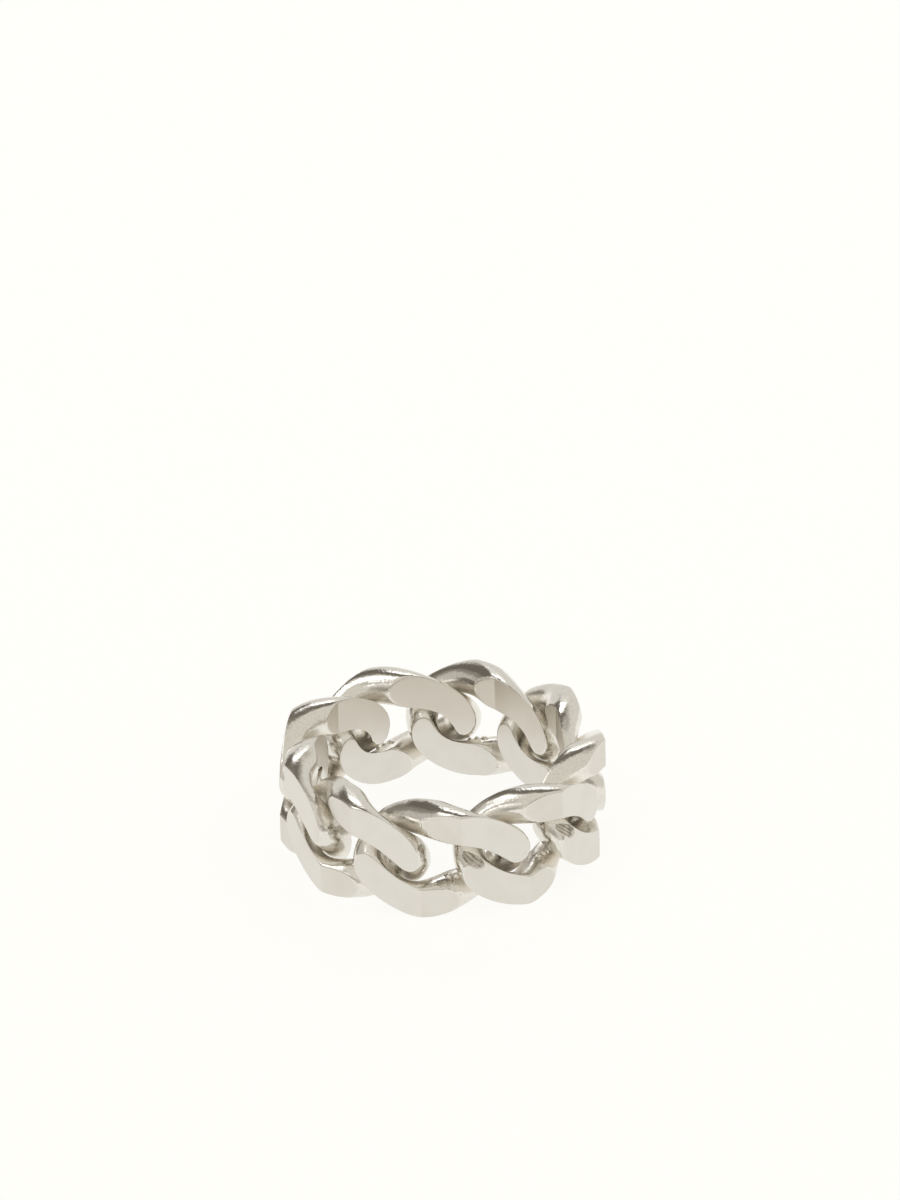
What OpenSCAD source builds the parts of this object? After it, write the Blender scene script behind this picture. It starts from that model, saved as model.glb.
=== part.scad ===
// A finger ring made of nine links of curb chain, closed on itself.
// The ring lies on its side: its axis is +Z, and it rests on the plane Z = 0.
// Each link is a twisted loop of thick round wire, bent round the finger and
// ground flat, outside and inside, in planes that stand along the ring's axis.
// Outside, each bar has two flats: one at its free end, over the crossing with the
// next link, and one that turns away towards the end that goes under.

/* [Ring] */
// Width of the finger hole: twice the distance from its axis to the inner flats
hole_w = 19.1; // [16:0.1:23]
// Distance from the inner flats to the outer flats
band_t = 2.95; // [2.45:0.05:3.6]
// Number of links round the ring
link_count = 9; // [8:1:10]

/* [Wire] */
// Thickness of the wire through the band, before grinding
wire_t = 3.05; // [2.5:0.05:3.7]
// Width of the wire, seen from outside the ring
wire_w = 2.5; // [2:0.05:3]

/* [Link] */
// Room between each bar and the wires that pass it, at the middle of the band
bar_play = 1.05; // [0.85:0.05:1.3]
// Length that a link's end keeps past the end of the link it holds
hook_play = 0.05; // [0:0.05:0.5]
// Smallest gap between two neighbouring links
link_gap = 0.06; // [0.04:0.01:0.12]
// Shift of the upper bar along the ring, and of the lower bar the other way
bar_shift = 0.55; // [0:0.05:0.7]
// Rise of one end of the link over the middle of the band, and fall of the other
end_rise = 0.35; // [0:0.05:0.6]
// Outward lean of the link's ends
end_lean = 0.25; // [0:0.05:0.4]

/* [Hidden] */

// Cross sections along one link, and corners of each section
sections = 44;
corners = 20;

// Ring: flats, mid circle on which the links are laid, and pitch of the links
inner_flat = hole_w / 2;
outer_flat = inner_flat + band_t;
mid_r = (inner_flat + outer_flat) / 2;
pitch = 2 * PI * mid_r / link_count;
link_angle = 360 / link_count;

// Centre line of a link: half its length and half its height
half_l = pitch / 2 + wire_w / 2 + hook_play;
half_h = wire_w + bar_play;

// Third waves of the centre line, which square the loop and turn its bars
end_square = 0.3;
bar_square = -0.3;
bar_bow = 0.1;
end_bow = 0.05;
// Each bar swells towards the link's opening, most at the bar's middle
bar_swell = 0.55;
swell_power = 6;
// Fourth waves of the twist, which hold the bars along the flats
twist_hold = 0.05;
lean_hold = 0.1;

// Each bar's second outer flat is turned towards the bar's under end, and lies a
// little further in; the middle flats of the hole lie a little further out
under_turn = 15;
under_flat = outer_flat - 0.65;
middle_flat = inner_flat + 0.33;

// The second flats stop at this height over and under the link's middle
crook_up = 1.05;

// The wire's outward twist is set by the gap, between these two limits
twist_least = 0.6;
twist_most = 2.4;
gap_samples = 5;

// Place on the centre line at turn t, as [along the ring, outward, up]
function spot(t, twist) = [
    half_l * cos(t) - bar_shift * sin(t) + end_square * cos(3 * t) + bar_square * sin(3 * t),
    twist * sin(2 * t) + end_lean * cos(2 * t) + twist_hold * sin(4 * t) + lean_hold * cos(4 * t),
    half_h * sin(t) + end_rise * cos(t) + bar_bow * sin(3 * t) + end_bow * cos(3 * t)
];

function unit(v) = v / norm(v);

// Direction of the centre line, and the section's two axes: out, and across the wire
function heading(t, twist) = unit(spot(t + 0.1, twist) - spot(t - 0.1, twist));
function out_axis(t, twist) = let (h = heading(t, twist)) unit([0, 1, 0] - h[1] * h);
function cross_axis(t, twist) = cross(out_axis(t, twist), heading(t, twist));

// How far the wire swells towards the opening, and its reach across at turn w round it
function swell(t) = bar_swell * pow(abs(sin(t)), swell_power);
function across(t, w) = sin(w) * (wire_w / 2 + (sin(w) < 0 ? swell(t) : 0));

// A link's flat layout bent round the ring, for a link turned by angle a
function bearing(p, a) = a - 90 + p[0] / mid_r * 180 / PI;
function bent(p, a) = let (b = bearing(p, a), r = mid_r + p[1]) [r * cos(b), r * sin(b), p[2]];
function bent_axis(v, p, a) = let (b = bearing(p, a)) [
    -v[0] * sin(b) + v[1] * cos(b),
    v[0] * cos(b) + v[1] * sin(b),
    v[2]
];

// One section of the wire for the gap: its centre, its two half axes, and by how much
// the second is longer towards the opening
function gap_section(t, twist, a) = let (p = spot(t, twist)) [
    bent(p, a),
    bent_axis(out_axis(t, twist), p, a) * wire_t / 2,
    bent_axis(cross_axis(t, twist), p, a) * wire_w / 2,
    1 + swell(t) / (wire_w / 2)
];
function reach(s, d) = let (side = s[2] * d) norm([s[1] * d, side < 0 ? side * s[3] : side]);
function section_gap(s, o) = let (v = o[0] - s[0], d = unit(v)) norm(v) - reach(s, d) - reach(o, -d);

// Smallest gap between the leading half of a link and the trailing half of the next
function neighbour_gap(twist) = let (
    lead = [for (t = [-100 : gap_samples : 100]) gap_section(t, twist, 0)],
    trail = [for (t = [80 : gap_samples : 280]) gap_section(t, twist, link_angle)]
) min([for (s = lead) min([for (o = trail) section_gap(s, o)])]);

// The least twist that leaves the gap, found by halving
function least_twist(low, high, tries) = let (mid = (low + high) / 2)
    tries == 0 ? high
    : neighbour_gap(mid) < link_gap ? least_twist(mid, high, tries - 1)
    : least_twist(low, mid, tries - 1);

twist = least_twist(twist_least, twist_most, 10);

// Skin of a link before it is ground, section after section
function skin_point(t, w) = let (p = spot(t, twist))
    p + out_axis(t, twist) * cos(w) * wire_t / 2 + cross_axis(t, twist) * across(t, w);
skin = [
    for (i = [0 : sections - 1], j = [0 : corners - 1])
        skin_point(i * 360 / sections, j * 360 / corners)
];
base_drop = min([for (p = skin) p[2]]);

function corner_at(i, j) = (i % sections) * corners + j % corners;
skin_faces = [
    for (i = [0 : sections - 1], j = [0 : corners - 1], half = [0, 1])
        half == 0
        ? [corner_at(i, j), corner_at(i + 1, j), corner_at(i + 1, j + 1)]
        : [corner_at(i, j), corner_at(i + 1, j + 1), corner_at(i, j + 1)]
];

// The bent wire of one link at the front of the ring, before grinding
module wire_loop() {
    polyhedron([for (p = skin) bent([p[0], p[1], p[2] - base_drop], 0)], skin_faces, convexity = 8);
}

// Block whose face is a flat, at a distance from the ring's axis and turned by an
// angle from the link's middle; it fills the outer side of the flat, or the inner
module flat_block(flat, angle, low, high, outer_side) {
    size = 2 * outer_flat;
    rotate([0, 0, angle])
        translate([-size, outer_side ? -flat - size : -flat, low])
            cube([2 * size, size, high - low]);
}

// Finger hole as one link sees it: the middle flat, and the flats at both crossings
module hole(low, high) {
    intersection() {
        flat_block(middle_flat, 0, low, high, false);
        flat_block(inner_flat, link_angle / 2, low, high, false);
        flat_block(inner_flat, -link_angle / 2, low, high, false);
    }
}

module link(n) {
    mid = -base_drop;
    low = -1;
    high = 2 * mid + 1;
    color("silver")
        rotate([0, 0, (n - 1) * link_angle])
            difference() {
                wire_loop();
                for (side = [-1, 1])
                    flat_block(outer_flat, side * link_angle / 2, low, high, true);
                flat_block(under_flat, -under_turn, mid + crook_up, high, true);
                flat_block(under_flat, under_turn, low, mid - crook_up, true);
                hole(low, high);
            }
}

for (n = [1:link_count])
    link(n);
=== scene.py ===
"""Looks of the chain link ring: nine bent, twisted wire links, ground flat outside and inside."""

import logging
import math
from dataclasses import dataclass
from enum import Enum

import bpy
import numpy as np
from mathutils import Matrix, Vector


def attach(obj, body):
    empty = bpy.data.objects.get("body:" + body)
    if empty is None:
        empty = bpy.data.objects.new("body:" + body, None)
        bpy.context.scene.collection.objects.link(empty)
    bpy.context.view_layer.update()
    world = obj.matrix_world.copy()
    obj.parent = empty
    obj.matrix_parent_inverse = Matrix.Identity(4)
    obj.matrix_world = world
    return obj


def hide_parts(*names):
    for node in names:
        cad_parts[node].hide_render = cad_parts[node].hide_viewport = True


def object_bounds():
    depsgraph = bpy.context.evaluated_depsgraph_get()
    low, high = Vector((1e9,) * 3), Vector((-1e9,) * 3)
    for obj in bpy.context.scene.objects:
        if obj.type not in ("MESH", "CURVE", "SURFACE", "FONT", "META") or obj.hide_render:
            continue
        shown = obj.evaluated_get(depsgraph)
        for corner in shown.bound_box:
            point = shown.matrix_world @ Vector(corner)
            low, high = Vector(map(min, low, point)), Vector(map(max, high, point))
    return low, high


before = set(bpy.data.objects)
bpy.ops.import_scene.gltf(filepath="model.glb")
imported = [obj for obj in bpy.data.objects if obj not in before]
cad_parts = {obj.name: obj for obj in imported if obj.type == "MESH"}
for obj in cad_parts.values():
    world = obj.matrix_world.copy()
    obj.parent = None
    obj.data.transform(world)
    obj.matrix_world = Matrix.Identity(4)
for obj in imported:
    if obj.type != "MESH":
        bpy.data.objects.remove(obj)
cad_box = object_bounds()

MM = 0.001
# Turn, in radians, over which the slope of the wire's skin is measured
NUDGE = 1e-3
LOG = logging.getLogger("chain_link_ring")


class Trace(Enum):
    """What work has left on the silver, and where light and shade are painted on it, kept on the mesh as
    one number a vertex.
    """

    GROUND = "ground"
    # Where the links cross; the material paints fill light there
    CROOK = "crook"
    # Painted shade on the hole's side and on the turned flats
    DULL = "shade_and_tone"
    CUT = "cut"


def unit(vectors: np.ndarray) -> np.ndarray:
    """Vectors scaled to length one, along the last axis."""
    return vectors / np.linalg.norm(vectors, axis=-1, keepdims=True)


def smooth_least(a: np.ndarray, b: np.ndarray, blend: np.ndarray) -> np.ndarray:
    """The lesser of two heights, with a rounded change from one to the other.

    Args:
        a: First heights.
        b: Second heights.
        blend: Difference of the two below which they blend.

    Returns:
        The blended lesser heights.
    """
    share = np.clip(0.5 + 0.5 * (b - a) / blend, 0, 1)
    return b * (1 - share) + a * share - blend * share * (1 - share)


def smooth_step(low: float, high: float, x: np.ndarray) -> np.ndarray:
    """A smooth rise from 0 at low to 1 at high."""
    s = np.clip((x - low) / (high - low), 0, 1)
    return s * s * (3 - 2 * s)


def turning(angle: float) -> np.ndarray:
    """Matrix that turns rows of places about the ring's axis, by an angle in radians.

    Args:
        angle: The angle, counter-clockwise as seen from above.

    Returns:
        The matrix, which stands to the right of the rows.
    """
    c, s = math.cos(angle), math.sin(angle)
    return np.array([[c, s, 0], [-s, c, 0], [0, 0, 1]])


@dataclass(frozen=True)
class RingSizes:
    """Driving sizes of the ring in millimetres, the same as those of its construction.

    The outside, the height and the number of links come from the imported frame.
    """

    outer_flat: float
    height: float
    link_count: int
    band_t: float = 2.95
    wire_t: float = 3.05
    wire_w: float = 2.5
    bar_play: float = 1.05
    hook_play: float = 0.05
    bar_shift: float = 0.55
    end_rise: float = 0.35
    end_lean: float = 0.25
    end_square: float = 0.3
    bar_square: float = -0.3
    bar_bow: float = 0.1
    end_bow: float = 0.05
    bar_swell: float = 0.55
    swell_power: float = 6.0
    twist: float = 1.6248
    twist_hold: float = 0.05
    lean_hold: float = 0.1
    under_drop: float = 0.65
    under_turn: float = math.radians(15)
    middle_rise: float = 0.33
    crook_up: float = 1.05

    @property
    def inner_flat(self) -> float:
        """Distance from the ring's axis to the inner flats at the crossings."""
        return self.outer_flat - self.band_t

    @property
    def mid_r(self) -> float:
        """Radius of the circle on which the links are laid."""
        return (self.inner_flat + self.outer_flat) / 2

    @property
    def link_angle(self) -> float:
        """Angle from one link to the next, in radians."""
        return 2 * math.pi / self.link_count

    @property
    def half_l(self) -> float:
        """Half the length of a link's centre line."""
        return math.pi * self.mid_r / self.link_count + self.wire_w / 2 + self.hook_play

    @property
    def half_h(self) -> float:
        """Half the height of a link's centre line."""
        return self.wire_w + self.bar_play


@dataclass(frozen=True)
class WireLoop:
    """The closed, twisted centre line of one link, and the oval wire around it.

    The wire swells towards the link's opening in the middle of each bar.

    Places are laid out flat as (along the ring, outward, up), in millimetres.
    """

    sizes: RingSizes
    way_points: int = 4001
    dense_turn: float = 0.3

    def spot(self, t: np.ndarray) -> np.ndarray:
        """Places on the centre line.

        Args:
            t: Turns along the centre line, in radians.

        Returns:
            One place for each turn.
        """
        s = self.sizes
        along = (
            s.half_l * np.cos(t) - s.bar_shift * np.sin(t)
            + s.end_square * np.cos(3 * t) + s.bar_square * np.sin(3 * t)
        )
        outward = (
            s.twist * np.sin(2 * t) + s.end_lean * np.cos(2 * t)
            + s.twist_hold * np.sin(4 * t) + s.lean_hold * np.cos(4 * t)
        )
        up = (
            s.half_h * np.sin(t) + s.end_rise * np.cos(t)
            + s.bar_bow * np.sin(3 * t) + s.end_bow * np.cos(3 * t)
        )
        return np.stack([along, outward, up], axis=-1)

    def even_turns(self, count: int) -> np.ndarray:
        """Turns along the centre line, closer together at the end with the pocket.

        Args:
            count: Number of turns.

        Returns:
            The turns, in radians.
        """
        fine = np.linspace(0, 2 * math.pi, self.way_points)
        steps = np.linalg.norm(np.diff(self.spot(fine), axis=0), axis=1)
        steps *= 1 + np.exp(-(((fine[1:] - math.pi) / self.dense_turn) ** 2))
        way = np.concatenate([[0.0], np.cumsum(steps)])
        return np.interp(np.arange(count) / count * way[-1], way, fine)

    def skin(self, t: np.ndarray, w: np.ndarray) -> np.ndarray:
        """Places on the wire's skin.

        Args:
            t: Turns along the centre line, in radians.
            w: Turns round the wire, from its outward side, in radians, of the same shape.

        Returns:
            One place for each pair of turns.
        """
        s = self.sizes
        heading = unit(self.spot(t + NUDGE) - self.spot(t - NUDGE))
        out = unit(np.array([0.0, 1.0, 0.0]) - heading[..., 1:2] * heading)
        across = np.cross(out, heading)
        bar = np.abs(np.sin(t)) ** s.swell_power
        swell = np.where(np.sin(w) < 0, s.bar_swell * bar, 0)
        return (
            self.spot(t)
            + out * (np.cos(w) * s.wire_t / 2)[..., None]
            + across * (np.sin(w) * (s.wire_w / 2 + swell))[..., None]
        )

    def skin_normal(self, t: np.ndarray, w: np.ndarray) -> np.ndarray:
        """Normals of the wire's skin.

        Args:
            t: Turns along the centre line, in radians.
            w: Turns round the wire, in radians.

        Returns:
            One unit normal for each pair of turns.
        """
        one = self.skin(t + NUDGE, w) - self.skin(t - NUDGE, w)
        two = self.skin(t, w + NUDGE) - self.skin(t, w - NUDGE)
        return unit(np.cross(one, two))


@dataclass(frozen=True)
class GroundSkin:
    """Places on the ground skin, with measures from 0 to 1.

    They say how near a place is to a flat's edge, how far it is within a flat,
    whether that flat is one of those that turn towards a bar's under end, and
    how far the place is within a pocket.
    """

    places: np.ndarray
    edge: np.ndarray
    ground: np.ndarray
    turned: np.ndarray
    cut: np.ndarray


@dataclass(frozen=True)
class GroundFlats:
    """The planes, outside and inside, to which the links are ground.

    Edges are rounded more where the skin meets a flat steeply. A turned flat
    stops short of the crook, and gives way to the free end's along a thin seam.
    """

    sizes: RingSizes
    edge_round: float = 0.13
    least_round: float = 0.15
    most_round: float = 0.3
    kink_round: float = 0.012
    fade: float = 0.16
    ground_span: tuple[float, float] = (-0.4, 0.9)
    turned_stop: float = 0.15
    turned_lift: float = 2.0
    turned_least: float = 0.5
    seam: float = 0.02

    def outside(self, along: np.ndarray, up: np.ndarray) -> tuple[np.ndarray, np.ndarray]:
        """Height of the outer planes over the mid circle, and the share of the turned ones.

        Both bars' free ends are ground square to the crossings, and the other
        part of each bar to a plane turned towards that bar's under end.

        Args:
            along: Places along the ring from the link's middle.
            up: Places above the link's middle.

        Returns:
            The height at each place, and 1 where a turned plane is the lower, else 0.
        """
        s = self.sizes
        angle = along / s.mid_r
        free = s.outer_flat / np.cos(np.abs(angle) - s.link_angle / 2)
        turned = np.clip(np.cos(angle + np.sign(up) * s.under_turn), self.turned_least, 1)
        away = 1 - smooth_step(s.crook_up - self.turned_stop, s.crook_up, np.abs(up))
        under = (s.outer_flat - s.under_drop) / turned + self.turned_lift * away
        height = smooth_least(free, under, np.full_like(free, self.kink_round)) - s.mid_r
        return height, smooth_step(-self.seam, self.seam, free - under)

    def inside(self, along: np.ndarray) -> np.ndarray:
        """Height of the inner planes over the mid circle.

        Args:
            along: Places along the ring from the link's middle.

        Returns:
            The height at each place.
        """
        s = self.sizes
        angle = along / s.mid_r
        free = s.inner_flat / np.cos(np.abs(angle) - s.link_angle / 2)
        middle = (s.inner_flat + s.middle_rise) / np.cos(angle)
        return smooth_least(free, middle, np.full_like(free, self.kink_round)) - s.mid_r

    def grind(self, places: np.ndarray, slope: np.ndarray) -> GroundSkin:
        """Moves places that stand proud of a flat onto it.

        Args:
            places: Places on the wire's skin.
            slope: How steeply the skin stands to the flats there.

        Returns:
            The ground skin.
        """
        outward = places[..., 1]
        blend = np.clip(self.edge_round * slope, self.least_round, self.most_round)
        outer, turned = self.outside(places[..., 0], places[..., 2])
        inner = self.inside(places[..., 0])
        edge = sum(np.exp(-(((outward - flat) / blend) ** 2)) for flat in (outer, inner))
        proud = np.maximum(outward - outer, inner - outward) / np.maximum(blend, self.fade)
        moved = places.copy()
        moved[..., 1] = -smooth_least(-smooth_least(outward, outer, blend), -inner, blend)
        ground = smooth_step(*self.ground_span, proud)
        return GroundSkin(moved, edge, ground, turned * (outward > 0), np.zeros_like(edge))


@dataclass(frozen=True)
class Pocket:
    """A shallow hollow that a burr has cut at the edge of an outer flat, with grooves along it.

    Its floor is tilted, its rim is soft, and its grooves fan out.
    """

    along: float = -5.5
    up: float = 0.34
    lean: float = math.radians(-40)
    half_length: float = 0.95
    half_width: float = 0.45
    depth: float = 0.06
    tilt: float = 0.5
    groove_pitch: float = 0.25
    groove_depth: float = 0.06
    groove_fan: float = 0.25
    rim: float = 0.35
    least_out: float = 0.2

    def sink(self, places: np.ndarray) -> tuple[np.ndarray, np.ndarray]:
        """How much the burr has taken away.

        Args:
            places: Places on the ground skin.

        Returns:
            The hollow's depth at each place, in millimetres, and how far within
            the hollow the place is, from 0 to 1.
        """
        x, y = places[..., 0] - self.along, places[..., 2] - self.up
        length = (x * math.cos(self.lean) + y * math.sin(self.lean)) / self.half_length
        width = (y * math.cos(self.lean) - x * math.sin(self.lean)) / self.half_width
        lens = smooth_step(0, self.rim, 1 - length**2 - width**2) * (places[..., 1] > self.least_out)
        fan = (width + self.groove_fan * length) * self.half_width / self.groove_pitch
        floor = self.depth + self.tilt * self.half_width * (1 + np.clip(width, -1, 1))
        return lens * (floor + self.groove_depth * np.cos(2 * math.pi * fan)), lens


@dataclass(frozen=True)
class Bead:
    """A small round lump left by the solder, on the wire."""

    place: tuple[float, float, float]
    radius: float
    height: float
    top: float = 0.2

    def rise(self, places: np.ndarray) -> np.ndarray:
        """How far the lump stands over the skin at each place, in millimetres."""
        off = np.linalg.norm(places - np.array(self.place), axis=-1) / self.radius
        return self.height * smooth_step(1, self.top, off)


@dataclass(frozen=True)
class HandWork:
    """What the making has left on one link: an uneven skin, beads, a pocket and nicked edges.

    The seed is the link's number, and gives each link waves and nicks of its own.
    """

    seed: int
    waves: int = 7
    wave_length: tuple[float, float] = (1.1, 2.8)
    wave_height: float = 0.0035
    nick_seed: int = 100
    nick_pitch: float = 0.34
    nick_stretch: float = 0.7
    nick_depth: float = 0.035
    patch_turn: float = 1.1
    patch_span: tuple[float, float] = (0.1, 0.7)
    pocket: Pocket = Pocket()
    pocket_links: tuple[int, ...] = (2, 3, 5, 8)
    beads: tuple[Bead, ...] = (
        Bead((0.55, -0.1, -1.75), 0.42, 0.17),
        Bead((1.15, -0.2, -1.8), 0.34, 0.2),
        Bead((1.7, -0.3, -1.9), 0.28, 0.2),
    )

    def rise(self, places: np.ndarray) -> np.ndarray:
        """How far the uneven skin and its beads stand out.

        Args:
            places: Places on the wire's even skin.

        Returns:
            The height over the even skin at each place, in millimetres.
        """
        chance = np.random.default_rng(self.seed)
        total = np.zeros(places.shape[:-1])
        for _ in range(self.waves):
            way = unit(chance.normal(size=3)) * 2 * math.pi / chance.uniform(*self.wave_length)
            total += self.wave_height * np.sin(places @ way + chance.uniform(0, 2 * math.pi))
        return total + sum(bead.rise(places) for bead in self.beads)

    def cut(self, skin: GroundSkin) -> None:
        """Cuts the pocket and the nicks at the flats' edges into the ground skin.

        Args:
            skin: The ground skin, which is changed.
        """
        places = skin.places
        chance = np.random.default_rng(self.seed + self.nick_seed)
        way, end, patch = chance.normal(size=(3, 3))
        pitch = 2 * math.pi / self.nick_pitch
        rows = np.sin(places @ unit(way) * pitch)
        ends = np.sin(places @ unit(end) * pitch * self.nick_stretch)
        nicks = np.clip(rows * ends, 0, 1)
        patches = np.sin(places @ unit(patch) * self.patch_turn + self.seed)
        nicks *= smooth_step(*self.patch_span, patches)
        places[..., 1] -= self.nick_depth * skin.edge * nicks * np.sign(places[..., 1])
        if self.seed in self.pocket_links:
            hollow, lens = self.pocket.sink(places)
            places[..., 1] -= hollow
            skin.ground[...] *= 1 - lens
            skin.cut[...] = lens


@dataclass(frozen=True)
class LinkShape:
    """One link's mesh at the front of the ring: places, normals, quads and traces."""

    places: np.ndarray
    normals: np.ndarray
    faces: list[tuple[int, int, int, int]]
    traces: dict[Trace, np.ndarray]


@dataclass(frozen=True)
class LinkMesher:
    """Makes the mesh of one link: sections along the wire, columns round it.

    The hole's side is painted darker, as painted shade, between two depths, and more so higher up; the
    turned flats get a little painted shade too.
    """

    wire: WireLoop
    flats: GroundFlats
    sections: int = 336
    quadrant_columns: int = 39
    quadrant_points: int = 181
    edge_columns: float = 4.0
    least_step: float = 1e-4
    least_level: float = 0.05
    line_points: int = 160
    # Share of painted shade on the flats turned towards a bar's under end
    turned_shade: float = 0.3
    hole_depths: tuple[float, float] = (-0.4, -1.1)
    hole_heights: tuple[float, float] = (-1.5, 3.0)

    def ground(self, t: np.ndarray, w: np.ndarray, work: HandWork | None = None) -> GroundSkin:
        """The ground skin at turns along and round the wire.

        Args:
            t: Turns along the centre line, in radians.
            w: Turns round the wire, in radians.
            work: What the making has left on the link, or None for a plain link.

        Returns:
            The skin, as GroundFlats.grind makes it, with the marks of the work.
        """
        skin, normal = self.wire.skin(t, w), self.wire.skin_normal(t, w)
        level = np.clip(np.abs(normal[..., 1]), self.least_level, 1)
        slope = np.sqrt(1 - level**2) / level
        if work is None:
            return self.flats.grind(skin, slope)
        skin = skin + normal * work.rise(skin)[..., None]
        done = self.flats.grind(skin, slope)
        work.cut(done)
        return done

    def columns(self, t: float) -> np.ndarray:
        """Turns round the wire for one section, closer together at the flats' edges.

        Args:
            t: The section's turn along the centre line, in radians.

        Returns:
            The turns round the wire, in radians.
        """
        turns = []
        for quadrant in range(4):
            fine = np.linspace(quadrant, quadrant + 1, self.quadrant_points) * math.pi / 2
            skin = self.ground(np.full_like(fine, t), fine)
            step = np.linalg.norm(np.diff(skin.places, axis=0), axis=1)
            edge = (skin.edge[1:] + skin.edge[:-1]) / 2
            weight = step * (1 + self.edge_columns * edge) + self.least_step
            way = np.concatenate([[0.0], np.cumsum(weight)])
            want = np.arange(self.quadrant_columns) / self.quadrant_columns * way[-1]
            turns.append(np.interp(want, way, fine))
        return np.concatenate(turns)

    def bend(self, flat: np.ndarray) -> np.ndarray:
        """Bends places round the ring's axis, for the link at the front.

        Args:
            flat: Places laid out flat.

        Returns:
            The same places on the link, still in millimetres.
        """
        mid_r = self.wire.sizes.mid_r
        bearing = flat[..., 0] / mid_r - math.pi / 2
        radius = mid_r + flat[..., 1]
        return np.stack([radius * np.cos(bearing), radius * np.sin(bearing), flat[..., 2]], -1)

    def normals(self, t: np.ndarray, w: np.ndarray, work: HandWork) -> np.ndarray:
        """Normals of the ground skin, bent like the link.

        Args:
            t: Turns along the centre line, in radians.
            w: Turns round the wire, in radians.
            work: What the making has left on the link.

        Returns:
            One unit normal for each pair of turns.
        """
        small = 2 * NUDGE
        ends = [(t + small, w), (t - small, w), (t, w + small), (t, w - small)]
        one, less_one, two, less_two = (self.bend(self.ground(*end, work).places) for end in ends)
        return unit(np.cross(one - less_one, two - less_two))

    def clearance(self, places: np.ndarray) -> np.ndarray:
        """Distance from the front link's skin to the wires of both its neighbours.

        Args:
            places: Places on the front link, one a row.

        Returns:
            The distance from each place to the nearer wire's skin, about.
        """
        sizes = self.wire.sizes
        turns = np.linspace(0, 2 * math.pi, self.line_points, endpoint=False)
        line = self.bend(self.wire.spot(turns))
        nearest = np.full(len(places), np.inf)
        for side in (-1, 1):
            for spot in line @ turning(side * sizes.link_angle):
                nearest = np.minimum(nearest, np.linalg.norm(places - spot, axis=1))
        return nearest - (sizes.wire_t + sizes.wire_w) / 4

    def faces(self) -> list[tuple[int, int, int, int]]:
        """The quads between neighbouring sections and columns.

        Returns:
            Each quad's four corners, as numbers of places.
        """
        rows, columns = self.sections, 4 * self.quadrant_columns
        i, j = np.meshgrid(np.arange(rows), np.arange(columns), indexing="ij")
        i_next, j_next = (i + 1) % rows, (j + 1) % columns
        start, end = i * columns, i_next * columns
        corners = [start + j, start + j_next, end + j_next, end + j]
        return np.stack(corners, axis=-1).reshape(-1, 4).tolist()

    def layout(self) -> tuple[np.ndarray, np.ndarray]:
        """Where the mesh's places are on the wire.

        Returns:
            Turns along the centre line and turns round the wire, one row a section.
        """
        turns = self.wire.even_turns(self.sections)
        w = np.stack([self.columns(turn) for turn in turns])
        return np.repeat(turns[:, None], w.shape[1], axis=1), w

    def build(self, t: np.ndarray, w: np.ndarray, work: HandWork) -> LinkShape:
        """Makes the mesh of a link at the front, standing on the ground plane.

        Args:
            t: Turns along the wire, from layout.
            w: Turns round the wire, from layout.
            work: What the making has left on the link.

        Returns:
            The mesh's places and normals in millimetres, its quads and its traces.
        """
        skin = self.ground(t, w, work)
        _, outward, up = np.moveaxis(skin.places.reshape(-1, 3), -1, 0)
        # Painted shade: the hole's side is made darker between two depths and more so higher up, and the
        # turned flats a little
        hole = smooth_step(*self.hole_depths, outward) * smooth_step(*self.hole_heights, up)
        shade_and_tone = np.maximum(hole, self.turned_shade * skin.turned.reshape(-1))
        normals = self.normals(t, w, work).reshape(-1, 3)
        places = self.bend(skin.places).reshape(-1, 3)
        core = self.bend(self.wire.spot(t)).reshape(-1, 3)
        facing = math.copysign(1, (normals * (places - core)).sum())
        low, high = places[:, 2].min(), places[:, 2].max()
        places[:, 2] = (places[:, 2] - low) * self.wire.sizes.height / (high - low)
        ground, cut = skin.ground.reshape(-1), skin.cut.reshape(-1)
        traces = {Trace.GROUND: ground, Trace.DULL: shade_and_tone, Trace.CUT: cut}
        return LinkShape(places, normals * facing, self.faces(), traces)


@dataclass(frozen=True)
class ChainRing:
    """The ring: equal links, each turned on from the last, and hooked through it.

    Silver nearer to a neighbour than the first of the crook's reaches starts to
    count as crook, and nearer than the second is wholly so.
    """

    sizes: RingSizes
    mesher: LinkMesher
    crook_reach: tuple[float, float] = (1.15, 0.05)

    def build(self, finish: bpy.types.Material) -> list[bpy.types.Object]:
        """Builds every link in place of its plain node.

        Args:
            finish: The silver of the links.

        Returns:
            The links, in order round the ring.
        """
        t, w = self.mesher.layout()
        plain = self.mesher.bend(self.mesher.ground(t, w).places).reshape(-1, 3)
        crook = smooth_step(*self.crook_reach, self.mesher.clearance(plain))
        links = []
        for number in range(1, self.sizes.link_count + 1):
            shape = self.mesher.build(t, w, HandWork(seed=number))
            shape.traces[Trace.CROOK] = crook
            links.append(self.place(number, shape, finish))
        return links

    def place(self, number: int, shape: LinkShape, finish: bpy.types.Material) -> bpy.types.Object:
        """Makes one link, turned on from the front.

        Args:
            number: The link's number, counted from the front.
            shape: The link's mesh at the front of the ring.
            finish: The silver of the links.

        Returns:
            The link.
        """
        turned = turning((number - 1) * self.sizes.link_angle)
        mesh = bpy.data.meshes.new(f"silver_link_{number}")
        mesh.from_pydata((shape.places @ turned * MM).tolist(), [], shape.faces)
        mesh.update()
        mesh.polygons.foreach_set("use_smooth", np.ones(len(mesh.polygons), bool))
        mesh.normals_split_custom_set_from_vertices((shape.normals @ turned).tolist())
        for trace, amount in shape.traces.items():
            mesh.attributes.new(trace.value, "FLOAT", "POINT").data.foreach_set("value", amount)
        mesh.materials.append(finish)
        link = bpy.data.objects.new(f"silver_link_{number}", mesh)
        bpy.context.scene.collection.objects.link(link)
        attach(link, "root")
        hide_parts(f"link_{number}")
        LOG.info("link %d: %d faces", number, len(mesh.polygons))
        return link


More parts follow.
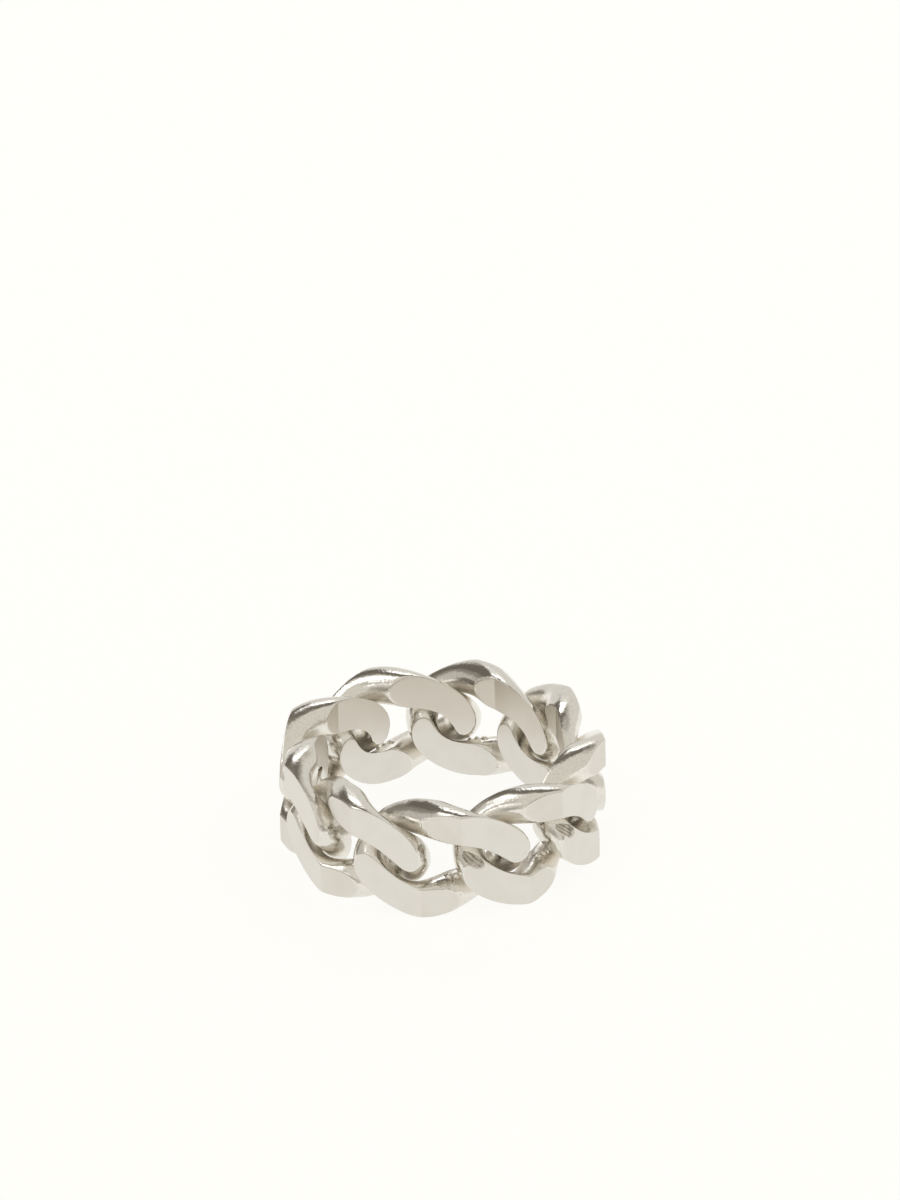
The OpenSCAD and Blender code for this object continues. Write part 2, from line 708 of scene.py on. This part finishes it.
class Wiring:
    """Short ways to add and join the nodes of a node tree."""

    # A mix node's sockets for two numbers and for two colours, and its colour's output
    MIX_NUMBERS = (2, 3)
    MIX_COLOURS = (6, 7)
    MIX_COLOUR_OUT = 2

    def __init__(self, tree: bpy.types.NodeTree) -> None:
        """Keeps the tree to which nodes are added."""
        self.tree = tree

    def set(self, socket: bpy.types.NodeSocket, value: object) -> None:
        """Joins an input to another node's output, or sets its value.

        Args:
            socket: The input.
            value: Another node's output, or a value.
        """
        if isinstance(value, bpy.types.NodeSocket):
            self.tree.links.new(value, socket)
        else:
            socket.default_value = value

    def add(self, kind: str, **inputs: object) -> bpy.types.Node:
        """Adds a node and fills some of its inputs.

        Args:
            kind: The node's type.
            inputs: What each input gets, named with underscores for blanks.

        Returns:
            The node.
        """
        node = self.tree.nodes.new(kind)
        for name, value in inputs.items():
            self.set(node.inputs[name.replace("_", " ")], value)
        return node

    def math(self, operation: str, *values: object) -> bpy.types.NodeSocket:
        """Does one sum on numbers.

        Args:
            operation: The sum's name.
            values: Numbers or other nodes' outputs.

        Returns:
            The result.
        """
        node = self.tree.nodes.new("ShaderNodeMath")
        node.operation = operation
        for socket, value in zip(node.inputs, values):
            self.set(socket, value)
        return node.outputs[0]

    def step(
        self, value: object, span: tuple[float, float], ends: tuple[float, float] = (0, 1)
    ) -> bpy.types.NodeSocket:
        """A smooth change between two ends as a value goes over a span.

        Args:
            value: A number or another node's output.
            span: Where the change starts and where it stops.
            ends: What the change leads from and to.

        Returns:
            The changed value.
        """
        node = self.tree.nodes.new("ShaderNodeMapRange")
        node.interpolation_type = "SMOOTHSTEP"
        for socket, number in zip(node.inputs, (value, *span, *ends)):
            self.set(socket, number)
        return node.outputs[0]

    def blend(self, share: object, one: object, other: object) -> bpy.types.NodeSocket:
        """A number between two numbers.

        Args:
            share: How much of the other number there is.
            one: The number where the share is 0.
            other: The number where the share is 1.

        Returns:
            The blended number.
        """
        node = self.add("ShaderNodeMix", Factor=share)
        for socket, value in zip(self.MIX_NUMBERS, (one, other)):
            self.set(node.inputs[socket], value)
        return node.outputs[0]

    def mix(self, share: object, one: object, other: object) -> bpy.types.NodeSocket:
        """A colour between two colours.

        Args:
            share: How much of the other colour there is.
            one: The colour where the share is 0.
            other: The colour where the share is 1.

        Returns:
            The mixed colour.
        """
        node = self.tree.nodes.new("ShaderNodeMix")
        node.data_type = "RGBA"
        self.set(node.inputs["Factor"], share)
        for socket, value in zip(self.MIX_COLOURS, (one, other)):
            self.set(node.inputs[socket], value)
        return node.outputs[self.MIX_COLOUR_OUT]

    def noise(self, place: bpy.types.NodeSocket, grain: float, detail: float) -> bpy.types.NodeSocket:
        """Noise from 0 to 1 whose grain has about the size given, in millimetres."""
        scale = 1 / (grain * MM)
        return self.add("ShaderNodeTexNoise", Vector=place, Scale=scale, Detail=detail).outputs["Fac"]


@dataclass(frozen=True)
class Silver:
    """Silver with satin ground flats, a polished but finely pitted skin, and rougher crooks; the crooks
    are painted lighter as painted fill light, and the hole's side, the turned flats and the pockets are
    painted darker as painted shade.
    """

    name: str = "silver"
    ground_colour: tuple[float, float, float] = (0.735, 0.71, 0.66)
    # Darker colour of the flats: painted shade on the hole's side and the turned flats, and tone that
    # differs at random
    shade_and_tone_colour: tuple[float, float, float] = (0.66, 0.61, 0.54)
    skin_colour: tuple[float, float, float] = (0.78, 0.755, 0.7)
    pit_colour: tuple[float, float, float] = (0.6, 0.55, 0.48)
    # Darker colour of the pockets: painted shade in the hollows
    pocket_shade_colour: tuple[float, float, float] = (0.5, 0.46, 0.4)
    # Lighter, warm colour of the crooks: painted fill light where the links cross
    crook_light_colour: tuple[float, float, float] = (0.95, 0.905, 0.83)
    ground_rough: float = 0.3
    skin_rough: float = 0.09
    pit_rough: float = 0.16
    crook_rough: float = 0.5
    pit_grain: float = 0.2
    pit_depth: float = 0.014
    pit_span: tuple[float, float] = (0.42, 0.6)
    speckle_span: tuple[float, float] = (0.46, 0.62)
    speckle: float = 0.2
    pocket_shade_share: float = 0.9
    wave_grain: float = 0.8
    wave_depth: float = 0.005
    cloud_grain: float = 2.2
    crook_patch_span: tuple[float, float] = (0.3, 0.62)
    crook_patches: tuple[float, float] = (0.7, 1)
    tone_span: tuple[float, float] = (0.3, 0.7)
    shade_and_tone: tuple[float, float] = (-0.1, 0.25)
    satin_change: float = 0.05
    crook_smooth: float = 0.8
    bump_lost: float = 0.85

    def material(self) -> bpy.types.Material:
        """Makes the material.

        Returns:
            The material, which reads the traces on the mesh.
        """
        material = bpy.data.materials.new(self.name)
        material.use_nodes = True
        w = Wiring(material.node_tree)
        shader = material.node_tree.nodes["Principled BSDF"]
        shader.inputs["Metallic"].default_value = 1
        place = w.add("ShaderNodeTexCoord").outputs["Object"]
        trace = {t: self.trace(w, t) for t in Trace}
        pits = w.noise(place, self.pit_grain, 3)
        waves = w.noise(place, self.wave_grain, 1)
        clouds = w.noise(place, self.cloud_grain, 3)
        # Painted fill light: patches in the crooks whose colour is made lighter, and whose silver is
        # rougher
        crook_patches = w.math("MULTIPLY", trace[Trace.CROOK], w.step(clouds, self.crook_patch_span, self.crook_patches))
        speckle = w.math("MULTIPLY", w.step(pits, self.speckle_span), self.speckle)
        skin = w.mix(speckle, (*self.skin_colour, 1), (*self.pit_colour, 1))
        # Painted shade: the pockets' colour is made darker
        cut = w.math("MULTIPLY", trace[Trace.CUT], self.pocket_shade_share)
        skin = w.mix(cut, skin, (*self.pocket_shade_colour, 1))
        colour = w.mix(crook_patches, skin, (*self.crook_light_colour, 1))
        # Painted shade on the hole's side and the turned flats, with random tone from the clouds, mixes
        # the flats towards a darker colour
        shade_and_tone = w.math("ADD", trace[Trace.DULL], w.step(clouds, self.tone_span, self.shade_and_tone))
        flat = w.mix(shade_and_tone, (*self.ground_colour, 1), (*self.shade_and_tone_colour, 1))
        w.set(shader.inputs["Base Color"], w.mix(trace[Trace.GROUND], colour, flat))
        rough = w.step(pits, self.pit_span, (self.skin_rough, self.pit_rough))
        rough = w.blend(crook_patches, rough, self.crook_rough)
        satin = w.math("MULTIPLY", clouds, self.satin_change)
        satin = w.math("ADD", satin, self.ground_rough - self.satin_change / 2)
        w.set(shader.inputs["Roughness"], w.blend(trace[Trace.GROUND], rough, satin))
        crook = w.math("MULTIPLY", trace[Trace.CROOK], self.crook_smooth)
        smooth = w.math("MAXIMUM", trace[Trace.GROUND], crook)
        keep = w.math("SUBTRACT", 1, w.math("MULTIPLY", smooth, self.bump_lost))
        pit = w.math("MULTIPLY", pits, self.pit_depth * MM)
        wave = w.math("MULTIPLY", waves, self.wave_depth * MM)
        height = w.math("MULTIPLY", w.math("ADD", pit, wave), keep)
        bump = w.add("ShaderNodeBump", Height=height)
        bump.inputs["Distance"].default_value = 1
        w.set(shader.inputs["Normal"], bump.outputs["Normal"])
        return material

    def trace(self, w: Wiring, trace: Trace) -> bpy.types.NodeSocket:
        """Reads one trace from the mesh.

        Args:
            w: The material's wiring.
            trace: The trace.

        Returns:
            Its amount.
        """
        node = w.add("ShaderNodeAttribute")
        node.attribute_name = trace.value
        return node.outputs["Fac"]


@dataclass(frozen=True)
class FloorPaper:
    """White paper, lit so evenly that it shows almost no shade."""

    name: str = "floor_paper"
    colour: tuple[float, float, float] = (0.12, 0.12, 0.116)
    glow_colour: tuple[float, float, float] = (1.0, 0.995, 0.965)
    glow: float = 0.9
    rough: float = 0.9
    grain: float = 0.6
    fibre_span: tuple[float, float] = (0.3, 0.7)
    fibre_shade: float = 0.98

    def material(self) -> bpy.types.Material:
        """Makes the material.

        Returns:
            The material, which glows as well.
        """
        material = bpy.data.materials.new(self.name)
        material.use_nodes = True
        w = Wiring(material.node_tree)
        shader = material.node_tree.nodes["Principled BSDF"]
        place = w.add("ShaderNodeTexCoord").outputs["Object"]
        fibre = w.step(w.noise(place, self.grain, 3), self.fibre_span)
        shade = [c * self.fibre_shade for c in self.colour]
        w.set(shader.inputs["Base Color"], w.mix(fibre, (*self.colour, 1), (*shade, 1)))
        shader.inputs["Roughness"].default_value = self.rough
        shader.inputs["Emission Color"].default_value = (*self.glow_colour, 1)
        shader.inputs["Emission Strength"].default_value = self.glow
        return material


@dataclass(frozen=True)
class PhotoCamera:
    """The camera at the photograph's angle, with the ring where the photograph has it.

    Pixels are those of an image 900 wide and 1200 high.
    """

    azimuth_deg: float = 1.091
    elevation_deg: float = 29.84
    roll_deg: float = -1.366
    distance: float = 0.72528
    pixels_per_mm: float = 12.775
    centre_px: tuple[float, float] = (442.526, 786.367)
    image_px: tuple[int, int] = (900, 1200)
    sensor_mm: float = 36.0
    clip: tuple[float, float] = (0.01, 20.0)

    def build(self, aim: np.ndarray) -> bpy.types.Object:
        """Makes the camera and sets it as the scene's own.

        Args:
            aim: The ring's centre, which shows at centre_px.

        Returns:
            The camera.
        """
        turn, rise, roll = map(math.radians, (self.azimuth_deg, self.elevation_deg, self.roll_deg))
        right = np.array([math.cos(turn), math.sin(turn), 0.0])
        level = np.array([-math.sin(turn), math.cos(turn), 0.0])
        away = level * math.cos(rise) - np.array([0.0, 0.0, math.sin(rise)])
        up = np.cross(right, away)
        right, up = (
            right * math.cos(roll) + up * math.sin(roll),
            up * math.cos(roll) - right * math.sin(roll),
        )
        focal_px = self.pixels_per_mm * self.distance / MM
        off = [(c - size / 2) / focal_px for c, size in zip(self.centre_px, self.image_px)]
        ray = unit(np.array([off[0], off[1], 1.0]))
        swing = np.cross([0.0, 0.0, 1.0], ray)
        skew = np.array([[0, -swing[2], swing[1]], [swing[2], 0, -swing[0]], [-swing[1], swing[0], 0]])
        turned = np.eye(3) + skew + skew @ skew * (1 - ray[2]) / (swing @ swing)
        x_axis, y_down, forward = turned @ np.stack([right, -up, away])
        place = aim - away * self.distance
        data = bpy.data.cameras.new("photo_camera")
        data.sensor_width = self.sensor_mm
        data.lens = focal_px * self.sensor_mm / max(self.image_px)
        data.clip_start, data.clip_end = self.clip
        camera = bpy.data.objects.new("photo_camera", data)
        matrix = Matrix.Identity(4)
        for row in range(3):
            matrix[row][:] = (x_axis[row], -y_down[row], -forward[row], place[row])
        camera.matrix_world = matrix
        bpy.context.scene.collection.objects.link(camera)
        bpy.context.scene.camera = camera
        return camera


@dataclass(frozen=True)
class StudioCard:
    """A far-off card with soft edges, which glows, or is dark and hides what is behind it.

    Its azimuth is from behind the ring towards its right. Half sizes are angles.
    """

    azimuth_deg: float
    elevation_deg: float
    half_width_deg: float
    half_height_deg: float
    strength: float
    tint: tuple[float, float, float] = (1.0, 1.0, 1.0)
    soft_deg: float = 3.0

    def stand(
        self,
        w: Wiring,
        azimuth: bpy.types.NodeSocket,
        elevation: bpy.types.NodeSocket,
        behind: object,
    ) -> bpy.types.NodeSocket:
        """Puts the card in front of what stands there so far.

        Args:
            w: The world's wiring.
            azimuth: Azimuth in which the world is seen, in degrees.
            elevation: Elevation in which it is seen, in degrees.
            behind: The light from there without the card, as a colour or an output.

        Returns:
            The light with the card.
        """
        turned = w.math("WRAP", w.math("SUBTRACT", azimuth, self.azimuth_deg), 180, -180)
        raised = w.math("SUBTRACT", elevation, self.elevation_deg)
        cover = 1.0
        for off, half in ((turned, self.half_width_deg), (raised, self.half_height_deg)):
            rim = (half - self.soft_deg, half + self.soft_deg)
            inside = w.step(w.math("ABSOLUTE", off), rim, (1, 0))
            cover = w.math("MULTIPLY", inside, cover)
        return w.mix(cover, behind, (*[c * self.strength for c in self.tint], 1))


@dataclass(frozen=True)
class Studio:
    """A pale round paper floor, and cards round it in a pale room, among them a wide pale band low
    behind the ring.
    """

    floor_radius: float = 1.2
    floor_sides: int = 64
    room: tuple[float, float, float] = (0.78, 0.76, 0.7)
    backdrop: tuple[float, float, float] = (1.0, 0.998, 0.975)
    fold_scale: float = 3.0
    fold_deg: float = 16.0
    cards: tuple[StudioCard, ...] = (
        StudioCard(-100, 20, 34, 36, 0.6, (1.0, 0.96, 0.9), 8.0),
        StudioCard(0, 0, 64, 30, 0.8, (1.0, 0.98, 0.93), 1.5),
        StudioCard(-56, 24, 20, 36, 0.3, (1.0, 0.92, 0.8), 5.0),
        StudioCard(-25, 43, 32, 16, 0.17, (1.0, 0.91, 0.78), 4.0),
        StudioCard(5, 63, 38, 15, 0.19, (1.0, 0.91, 0.78), 4.0),
        StudioCard(50, 50, 14, 8, 0.45, (1.0, 0.95, 0.88), 5.0),
        StudioCard(150, 8, 18, 11, 0.42, (1.0, 0.94, 0.86), 5.0),
        StudioCard(-160, 8, 14, 11, 0.46, (1.0, 0.94, 0.86), 5.0),
        StudioCard(-140, 54, 14, 14, 0.5, (1.0, 0.94, 0.86), 5.0),
        StudioCard(-85, 70, 32, 8, 2.2),
        StudioCard(-127, 55, 12, 6, 2.0),
        StudioCard(-158, 40, 10, 5, 1.6),
        StudioCard(5, 45.5, 13, 6.5, 2.3),
        StudioCard(3, 31, 9, 2, 1.8, soft_deg=2.0),
    )

    def build(self) -> None:
        """Makes the floor and the light."""
        self.floor()
        self.world()
        bpy.context.scene.view_settings.view_transform = "Standard"

    def floor(self) -> bpy.types.Object:
        """Makes the round paper floor.

        Returns:
            The floor, under the ring.
        """
        rim = [
            (self.floor_radius * math.cos(a), self.floor_radius * math.sin(a), 0.0)
            for a in np.linspace(0, 2 * math.pi, self.floor_sides, endpoint=False)
        ]
        mesh = bpy.data.meshes.new("floor")
        mesh.from_pydata(rim, [], [tuple(range(self.floor_sides))])
        mesh.materials.append(FloorPaper().material())
        floor = bpy.data.objects.new("floor", mesh)
        bpy.context.scene.collection.objects.link(floor)
        return floor

    def world(self) -> bpy.types.World:
        """Makes the light: the room, and the cards one in front of another.

        Returns:
            The scene's world, which the camera sees as the backdrop.
        """
        world = bpy.data.worlds.new("studio")
        world.use_nodes = True
        w = Wiring(world.node_tree)
        toward = w.add("ShaderNodeTexCoord").outputs["Generated"]
        way = w.add("ShaderNodeSeparateXYZ", Vector=toward).outputs
        folds = w.add("ShaderNodeTexNoise", Vector=toward, Scale=self.fold_scale, Detail=1.0)
        fold = w.add("ShaderNodeSeparateColor", Color=folds.outputs["Color"]).outputs
        azimuth = w.math("DEGREES", w.math("ARCTAN2", way["X"], way["Y"]))
        elevation = w.math("DEGREES", w.math("ARCSINE", way["Z"]))
        aside = w.math("SUBTRACT", fold["Red"], 0.5)
        above = w.math("SUBTRACT", fold["Green"], 0.5)
        azimuth = w.math("MULTIPLY_ADD", aside, self.fold_deg, azimuth)
        elevation = w.math("MULTIPLY_ADD", above, self.fold_deg, elevation)
        light = (*self.room, 1)
        for card in self.cards:
            light = card.stand(w, azimuth, elevation, light)
        seen = w.add("ShaderNodeLightPath").outputs["Is Camera Ray"]
        background = world.node_tree.nodes["Background"]
        w.set(background.inputs["Color"], w.mix(seen, light, (*self.backdrop, 1)))
        bpy.context.scene.world = world
        return world


def main() -> None:
    """Builds the camera, the ring and the studio."""
    low, high = cad_box
    height = (high[2] - low[2]) / MM
    sizes = RingSizes(outer_flat=high[1] / MM, height=height, link_count=len(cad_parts))
    camera = PhotoCamera().build(aim=np.array([0, 0, (low[2] + high[2]) / 2]))
    LOG.info("camera: lens %.1f mm", camera.data.lens)
    mesher = LinkMesher(wire=WireLoop(sizes), flats=GroundFlats(sizes))
    links = ChainRing(sizes, mesher).build(Silver().material())
    LOG.info("ring: %d links", len(links))
    Studio().build()
    LOG.info("studio: floor and light")


if __name__ == "__main__":
    logging.basicConfig(level=logging.INFO, format="%(name)s: %(message)s")
    main()
